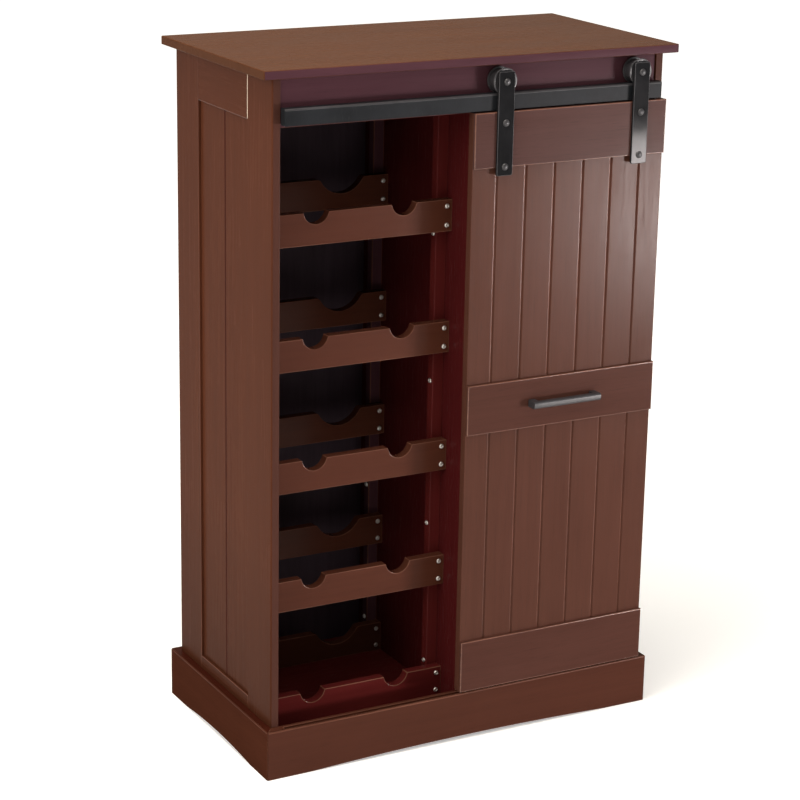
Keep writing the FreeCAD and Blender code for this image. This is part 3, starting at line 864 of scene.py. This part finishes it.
def track_metal():
    return metal("satin_track_metal", "track", scuff=(0.07, 0.07, 0.075),
                 satin=0.34, amount=0.25, bump=0.05, depth=0.00012, gloss=0.05)


def edge_metal():
    return metal("satin_edge_metal", "edge", scuff=(0.10, 0.095, 0.10),
                 satin=0.30, amount=0.25, bump=0.04, depth=0.00010, gloss=0.40)


def plated_steel():
    return metal("plated_steel", "steel", scuff=(0.30, 0.28, 0.26),
                 satin=0.30, amount=0.5, bump=0.10, depth=0.00010, gloss=0.5, metallic=1.0)


# Floor, backdrop, lights and camera
def seen_rays(tree):
    # One for what the camera sees, by itself or in a shiny or clear surface.
    path = add_node(tree, 'ShaderNodeLightPath', {}).outputs
    seen = maths(tree, 'MAXIMUM', path["Is Camera Ray"], path["Is Glossy Ray"])
    return maths(tree, 'MAXIMUM', seen, path["Is Transmission Ray"])


def pale_floor(colour):
    # The floor keeps its shadow; what the camera and reflections see of it is lifted towards white.
    material = bpy.data.materials.new("pale_floor")
    tree = empty_tree(material)
    where = add_node(tree, 'ShaderNodeTexCoord', {}).outputs["Object"]
    shade = remapped(tree, noise(tree, where, (40.0, 40.0, 40.0), 3.0, 0.5), 0.3, 0.7, 0.99, 1.0)
    tint = mixed(tree, 1.0, opaque(colour), shade, 'MULTIPLY')
    matt = add_node(tree, 'ShaderNodeBsdfDiffuse', {"Color": tint})
    away = add_node(tree, 'ShaderNodeVectorMath', {0: where}, operation='LENGTH').outputs["Value"]
    lift = remapped(tree, away, FLOOR_NEAR, FLOOR_FAR, NEAR_LIFT, FAR_LIFT)
    glow = add_node(tree, 'ShaderNodeEmission', {"Strength": maths(tree, 'MULTIPLY', seen_rays(tree), lift)})
    both = add_node(tree, 'ShaderNodeAddShader', {0: matt.outputs["BSDF"], 1: glow.outputs["Emission"]})
    add_node(tree, 'ShaderNodeOutputMaterial', {"Surface": both.outputs["Shader"]})
    return material


def studio_world():
    # A warm, even light all round, with a white backdrop up to just above the horizon for seen rays only.
    world = bpy.data.worlds.new("studio")
    bpy.context.scene.world = world
    tree = empty_tree(world)
    where = add_node(tree, 'ShaderNodeTexCoord', {}).outputs["Generated"]
    height = add_node(tree, 'ShaderNodeSeparateXYZ', {"Vector": where}).outputs["Z"]
    wall = remapped(tree, height, BACKDROP_FULL, BACKDROP_END, 1.0, 0.0)
    shown = maths(tree, 'MULTIPLY', seen_rays(tree), wall)
    sky = add_node(tree, 'ShaderNodeBackground', {
        "Color": mixed(tree, shown, AMBIENT_TINT, WHITE),
        "Strength": added(tree, AMBIENT, (shown, 1.0 - AMBIENT))})
    add_node(tree, 'ShaderNodeOutputWorld', {"Surface": sky.outputs["Background"]})


def soft_light(name, place, target, power, width, height, colour):
    bpy.ops.object.select_all(action='DESELECT')
    turn = (Vector(target) - Vector(place)).to_track_quat('-Z', 'Y').to_euler()
    bpy.ops.object.light_add(type='AREA', location=place, rotation=turn)
    lamp = bpy.context.active_object
    lamp.name = name
    lamp.data.shape = 'RECTANGLE'
    lamp.data.size = width
    lamp.data.size_y = height
    lamp.data.energy = power
    lamp.data.color = colour


def place_camera(scene):
    shot = scene.cabinet_view
    azimuth, elevation, roll = shot.azimuth, shot.elevation, shot.roll
    back = Vector((math.sin(azimuth) * math.cos(elevation), -math.cos(azimuth) * math.cos(elevation),
                   math.sin(elevation)))
    right = Vector((math.cos(azimuth), math.sin(azimuth), 0))
    up = back.cross(right)
    leaned_right = right * math.cos(roll) + up * math.sin(roll)
    leaned_up = up * math.cos(roll) - right * math.sin(roll)
    middle = Vector((0, BODY_SHIFT, cad_high.z / 2))
    place = middle + back * shot.distance + right * shot.aside + up * shot.above
    bpy.ops.object.select_all(action='DESELECT')
    bpy.ops.object.camera_add(location=place)
    camera = bpy.context.active_object
    camera.name = "photo_camera"
    camera.rotation_euler = Matrix((leaned_right, leaned_up, back)).transposed().to_euler()
    camera.data.sensor_width = SENSOR_WIDTH
    camera.data.lens = shot.lens
    scene.camera = camera


class CABINET_OT_top(bpy.types.Operator):
    """Model the overhanging top board with rounded corners and eased rims"""

    bl_idname = "cabinet.top"
    bl_label = "Top board"

    def execute(self, context):
        sizes = context.scene.cabinet_sizes
        top = block("top_board_eased", *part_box("top_board"))
        wear(top, stained_wood("across", "top"))
        # The top's forward faces take the plum colour, a painted cool reflection
        stain_faces(top, stained_wood("across", "plum"), looks_forward)
        round_edges(top, lambda a, b: abs(a.z - b.z) > TOUCH, sizes.top_corner, segments=5)
        round_edges(top, lambda a, b: abs(a.z - b.z) < TOUCH, sizes.top_rim, segments=3)
        finish_mesh(top)
        stand_for(top, "top_board")
        return {'FINISHED'}


class CABINET_OT_sides(bpy.types.Operator):
    """Ease the stiles, rails and grooved panels of both side walls"""

    bl_idname = "cabinet.sides"
    bl_label = "Side walls"

    def execute(self, context):
        ease = context.scene.cabinet_sizes.board_ease

        def wall_board(node, grain, easing):
            return stained_board(node, grain, "side", easing, BOARD_EDGE, rub="faint")

        for side in ("left", "right"):
            stile = wall_board(side + "_front_stile", "upright", ease)
            # The stile's front face takes the darker, cooler rail colour, a painted cool reflection
            stain_faces(stile, stained_wood("upright", "rail"), looks_forward)
            wall_board(side + "_rear_stile", "upright", ease)
            top_rail = wall_board(side + "_top_rail", "deep", ease * SOFTER)
            if side == "left":
                # A near-white strip marks the left top rail's joint with the front stile
                near_white_joint(top_rail, "left_front_stile")
            wall_board(side + "_bottom_rail", "deep", ease)
            panel = wall_board(side + "_side_panel", "upright", ease / 2)
            # The flanks of the panel's grooves take painted shade
            stain_faces(panel, stained_wood("upright", "pooled"), slopes_aside)
        return {'FINISHED'}


class CABINET_OT_carcass(bpy.types.Operator):
    """Ease the fascia, divider, floor and back of the carcass"""

    bl_idname = "cabinet.carcass"
    bl_label = "Carcass boards"

    def execute(self, context):
        ease = context.scene.cabinet_sizes.board_ease
        # The fascia takes the plum colour, a painted cool reflection
        stained_board("fascia_rail", "across", "plum", ease, BOARD_EDGE)
        # The divider takes the darker divider colour, painted shade
        stained_board("centre_divider", "upright", "divider", ease, BOARD_EDGE)
        stained_board("floor_board", "across", "inside", ease, BOARD_EDGE)
        back = eased_copy("back_panel", (back_board(),), ease / 2, shortest=BOARD_EDGE)
        stand_for(back, "back_panel")
        return {'FINISHED'}


class CABINET_OT_base(bpy.types.Operator):
    """Ease the four mitred boards of the base"""

    bl_idname = "cabinet.base"
    bl_label = "Base"

    def execute(self, context):
        ease = context.scene.cabinet_sizes.board_ease
        stained_board("base_front_board", "across", "front", ease, BASE_EDGE)
        for side, grain in (("back", "across"), ("left", "deep"), ("right", "deep")):
            board = stained_board("base_" + side + "_board", grain, "foot", ease / 2, BASE_EDGE, rub="faint")
            # The base's upward-facing ledge takes painted shade
            stain_faces(board, stained_wood(grain, "pooled"), looks_up)
        return {'FINISHED'}


class CABINET_OT_rack(bpy.types.Operator):
    """Ease the posts and the notched rails of the bottle rack"""

    bl_idname = "cabinet.rack"
    bl_label = "Bottle rack"

    def execute(self, context):
        ease = context.scene.cabinet_sizes.rack_ease
        for side in ("left", "right"):
            stained_board(side + "_front_post", "upright", "inside", ease, rub="inside")
            # The rear posts take the plum colour, a painted cool reflection
            stained_board(side + "_rear_post", "upright", "plum", ease)
        tiers = sum(node.startswith("front_neck_rail_") for node in frame["nodes"])
        for tier in range(1, tiers + 1):
            # The lowest front rail takes the deep red inside colour as a painted reddish reflection
            front_tone = "inside" if tier == tiers else "front"
            stained_board("front_neck_rail_%d" % tier, "across", front_tone, ease)
            stained_board("rear_bottle_rail_%d" % tier, "across", "front", ease)
        return {'FINISHED'}


class CABINET_OT_rack_screws(bpy.types.Operator):
    """Set a cross-headed screw at every screw of the rack's rails and posts"""

    bl_idname = "cabinet.rack_screws"
    bl_label = "Rack screws"

    def execute(self, context):
        sizes = context.scene.cabinet_sizes
        for node in ("rack_screws", "post_screws"):
            set_heads(node, sizes.screw_radius, sizes.screw_height)
        return {'FINISHED'}


class CABINET_OT_shelves(bpy.types.Operator):
    """Ease the shelves behind the door and turn their pins"""

    bl_idname = "cabinet.shelves"
    bl_label = "Shelves and pins"

    def execute(self, context):
        ease = context.scene.cabinet_sizes.board_ease
        for node in ("upper_shelf", "lower_shelf"):
            stained_board(node, "across", "front", ease, BOARD_EDGE)
        pins = []
        for start, radius, length in runs_of("shelf_pins", ASIDE):
            rings = rounded_band(radius, 0.0, length, radius * PIN_NOSE)
            pins.append(turned("shelf_pin", rings, start, ASIDE, PIN_SIDES))
        dress(pins, "shelf_pins", "_turned", plated_steel())
        return {'FINISHED'}


class CABINET_OT_track(bpy.types.Operator):
    """Ease the track bar, turn its spacers and set its screws"""

    bl_idname = "cabinet.track"
    bl_label = "Track"

    def execute(self, context):
        sizes = context.scene.cabinet_sizes
        low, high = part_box("track_rail")
        rail = block("track_rail_rounded", low, high)
        wear(rail, track_metal(), edge_metal())
        # The rounded upper front edge takes the lighter edge metal, a painted highlight
        round_edges(rail, lambda a, b: max(a.y, b.y) < low.y + TOUCH and min(a.z, b.z) > high.z - TOUCH,
                    sizes.track_round, segments=4, material=1)
        round_edges(rail, lambda a, b: min(a.z, b.z) < low.z + TOUCH or min(a.y, b.y) > high.y - TOUCH,
                    sizes.metal_ease, segments=2)
        finish_mesh(rail)
        stand_for(rail, "track_rail")
        ease = sizes.spacer_ease
        sleeves = []
        for start, radius, length in runs_of("track_spacers", BACK):
            bore = radius * SPACER_BORE
            rings = [(bore, 0.0), (radius - ease, 0.0), (radius, ease), (radius, length - ease),
                     (radius - ease, length), (bore, length)]
            sleeves.append(turned("track_spacer", rings, start, BACK, SPACER_SIDES, closed=True))
        dress(sleeves, "track_spacers", "_turned", black_metal())
        set_screws("track_screws", sizes.track_screw_radius, sizes.track_screw_height)
        return {'FINISHED'}


class CABINET_OT_door(bpy.types.Operator):
    """Ease the grooved plank panel of the door and plane its three rails"""

    bl_idname = "cabinet.door"
    bl_label = "Plank door"

    def execute(self, context):
        sizes = context.scene.cabinet_sizes
        panel = stained_board("door_panel", "upright", "door", sizes.board_ease, BOARD_EDGE, rub="faint",
                              edge_polish=SHOULDER_GLOSS)
        for face in panel.data.polygons:
            # Only the shoulder left of each groove, which faces the lamps on the right, keeps the lighter
            # edge colour as a painted highlight; the other one keeps its stain.
            if face.material_index == 1 and face.normal.x < TURNED_AWAY:
                face.material_index = 0
        # The top rail takes the greyer crown colour, a painted sheen
        for place, tone in (("top", "crown"), ("mid", "rail"), ("bottom", "rail")):
            planed_rail("door_" + place + "_rail", tone, sizes.rail_round, sizes.board_ease / 2)
        return {'FINISHED'}


class CABINET_OT_handle(bpy.types.Operator):
    """Model the pull handle as a rounded bar on two legs, with its screws"""

    bl_idname = "cabinet.handle"
    bl_label = "Pull handle"

    def execute(self, context):
        sizes = context.scene.cabinet_sizes
        low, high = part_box("pull_handle")
        bar_back = low.y + sizes.handle_bar

        def at_end(a, b):
            return max(a.x, b.x) < low.x + TOUCH or min(a.x, b.x) > high.x - TOUCH

        handle = block("pull_handle_rounded", low, Vector((high.x, bar_back, high.z)))
        legs = (low.x + sizes.handle_leg, high.x - sizes.handle_leg)
        for x in legs:
            start_edit(handle, 'FACE')
            bpy.ops.mesh.select_all(action='SELECT')
            bpy.ops.mesh.bisect(plane_co=(x, 0, 0), plane_no=ASIDE)
            end_edit()
        edit_faces(handle, lambda c, n: n.y > FACING and (c.x < legs[0] or c.x > legs[1]))
        bpy.ops.mesh.extrude_region_move(TRANSFORM_OT_translate={"value": (0, high.y - bar_back, 0)})
        end_edit()
        round_edges(handle, lambda a, b: max(a.y, b.y) < low.y + TOUCH and abs(a.z - b.z) < TOUCH,
                    sizes.handle_round, segments=6)
        round_edges(handle, lambda a, b: at_end(a, b) and min(a.y, b.y) < high.y - TOUCH,
                    sizes.handle_end, segments=2)
        finish_mesh(handle)
        wear(handle, edge_metal())
        stand_for(handle, "pull_handle")
        set_screws("handle_screws", sizes.handle_screw_radius, sizes.handle_screw_height)
        return {'FINISHED'}


class CABINET_OT_hangers(bpy.types.Operator):
    """Ease the hanger straps that carry the door"""

    bl_idname = "cabinet.hangers"
    bl_label = "Hanger straps"

    def execute(self, context):
        ease = context.scene.cabinet_sizes.metal_ease
        for side in ("left", "right"):
            # The straps' eased edges take the lighter edge metal, a painted highlight
            strap = eased_copy(side + "_hanger_strap", (black_metal(), edge_metal()), ease, steps=3)
            stand_for(strap, side + "_hanger_strap")
        return {'FINISHED'}


class CABINET_OT_bolts(bpy.types.Operator):
    """Turn the domed bolts of the straps and the axles of the rollers"""

    bl_idname = "cabinet.bolts"
    bl_label = "Domed bolts and axles"

    def execute(self, context):
        sizes = context.scene.cabinet_sizes
        dome = dome_rings(sizes.bolt_radius, sizes.bolt_height)
        bolts = []
        for seat, radius, length in runs_of("strap_bolts", BACK, sizes.bolt_height):
            rings = dome + [(sizes.bolt_shank, 0.0), (sizes.bolt_shank, length)]
            bolts.append(turned("strap_bolt", rings, seat, BACK, BOLT_SIDES))
        dress(bolts, "strap_bolts", "_domed", edge_metal())
        axle, rivet, cap, ease = sizes.axle_radius, sizes.rivet_radius, sizes.rivet_height, sizes.rivet_ease
        axles = []
        for seat, radius, length in runs_of("axle_bolts", BACK, sizes.bolt_height):
            rings = dome + [(axle, 0.0), (axle, length - cap), (rivet - ease / 2, length - cap),
                            (rivet, length - cap * (1 - RIM_STEP)), (rivet, length - ease),
                            (rivet - ease, length)]
            axles.append(turned("axle_bolt", rings, seat, BACK, BOLT_SIDES))
        dress(axles, "axle_bolts", "_domed", edge_metal())
        return {'FINISHED'}


class CABINET_OT_rollers(bpy.types.Operator):
    """Turn the flanged roller wheels with rounded rims and a dished face"""

    bl_idname = "cabinet.rollers"
    bl_label = "Roller wheels"

    def execute(self, context):
        sizes = context.scene.cabinet_sizes
        bore, flange = sizes.roller_bore, sizes.roller_flange
        soft, dish = sizes.roller_round, sizes.roller_dish
        for side in ("left", "right"):
            node = side + "_roller"
            low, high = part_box(node)
            rim = (high.z - low.z) / 2
            run = rim - sizes.roller_groove
            width = high.y - low.y
            hub_floor = width - sizes.hub_depth
            start = Vector(((low.x + high.x) / 2, low.y, (low.z + high.z) / 2))
            rings = [(bore, 0.0)]
            rings += [(rim * out, sunk) for out, sunk in zip(DISH, (0.0, dish, dish, 0.0))]
            rings += rounded_band(rim, 0.0, flange, soft)
            rings += [(run, flange), (run, width - flange)]
            rings += rounded_band(rim, width - flange, width, soft)
            rings += [(sizes.hub_radius, width), (sizes.hub_radius, hub_floor), (bore, hub_floor)]
            wheel = turned("roller_wheel", rings, start, BACK, ROLLER_SIDES, closed=True)
            dress([wheel], node, "_turned", edge_metal())
        return {'FINISHED'}


class CABINET_OT_pegs(bpy.types.Operator):
    """Turn the guide pegs under the door"""

    bl_idname = "cabinet.pegs"
    bl_label = "Guide pegs"

    def execute(self, context):
        pegs = []
        for start, radius, length in runs_of("door_guide_pegs", UP):
            nose = rounded_band(radius, 0.0, length, radius * PEG_NOSE)[:3]
            pegs.append(turned("guide_peg", nose + [(radius, length)], start, UP, PEG_SIDES))
        dress(pegs, "door_guide_pegs", "_turned", plated_steel())
        return {'FINISHED'}


class CABINET_OT_stage(bpy.types.Operator):
    """Lay the pale floor, set the soft lights and place the camera"""

    bl_idname = "cabinet.stage"
    bl_label = "Stage"

    def execute(self, context):
        scene = context.scene
        scene.view_settings.view_transform = 'Standard'
        studio_world()
        bpy.ops.object.select_all(action='DESELECT')
        bpy.ops.mesh.primitive_plane_add(size=FLOOR_SIZE, location=(0, 0, -FLOOR_DROP))
        floor = context.active_object
        floor.name = "stage_floor"
        bpy.ops.object.transform_apply(location=True, rotation=True, scale=True)
        wear(floor, pale_floor(scene.cabinet_finish.floor))
        for name, settings in LAMPS.items():
            soft_light(name, *settings)
        place_camera(scene)
        return {'FINISHED'}


class CABINET_PT_panel(bpy.types.Panel):
    """Lists the steps that dress the cabinet"""

    bl_idname = "CABINET_PT_panel"
    bl_label = "Wine cabinet"
    bl_space_type = 'VIEW_3D'
    bl_region_type = 'UI'
    bl_category = "Cabinet"

    def draw(self, context):
        for step in STEPS:
            self.layout.operator(step.bl_idname)
        for group in (context.scene.cabinet_sizes, context.scene.cabinet_finish, context.scene.cabinet_view):
            for name in group.__annotations__:
                self.layout.prop(group, name)


STEPS = (
    CABINET_OT_top, CABINET_OT_sides, CABINET_OT_carcass, CABINET_OT_base, CABINET_OT_rack,
    CABINET_OT_rack_screws, CABINET_OT_shelves, CABINET_OT_track, CABINET_OT_door, CABINET_OT_handle,
    CABINET_OT_hangers, CABINET_OT_bolts, CABINET_OT_rollers, CABINET_OT_pegs, CABINET_OT_stage,
)
CLASSES = (CabinetSizes, CabinetFinish, CabinetView) + STEPS + (CABINET_PT_panel,)


def register():
    for kind in CLASSES:
        bpy.utils.register_class(kind)
    bpy.types.Scene.cabinet_sizes = bpy.props.PointerProperty(type=CabinetSizes)
    bpy.types.Scene.cabinet_finish = bpy.props.PointerProperty(type=CabinetFinish)
    bpy.types.Scene.cabinet_view = bpy.props.PointerProperty(type=CabinetView)


def unregister():
    del bpy.types.Scene.cabinet_view
    del bpy.types.Scene.cabinet_finish
    del bpy.types.Scene.cabinet_sizes
    for kind in reversed(CLASSES):
        bpy.utils.unregister_class(kind)


def main():
    register()
    bpy.ops.cabinet.top()
    bpy.ops.cabinet.sides()
    bpy.ops.cabinet.carcass()
    bpy.ops.cabinet.base()
    bpy.ops.cabinet.rack()
    bpy.ops.cabinet.rack_screws()
    bpy.ops.cabinet.shelves()
    bpy.ops.cabinet.track()
    bpy.ops.cabinet.door()
    bpy.ops.cabinet.handle()
    bpy.ops.cabinet.hangers()
    bpy.ops.cabinet.bolts()
    bpy.ops.cabinet.rollers()
    bpy.ops.cabinet.pegs()
    bpy.ops.cabinet.stage()


if __name__ == "__main__":
    main()
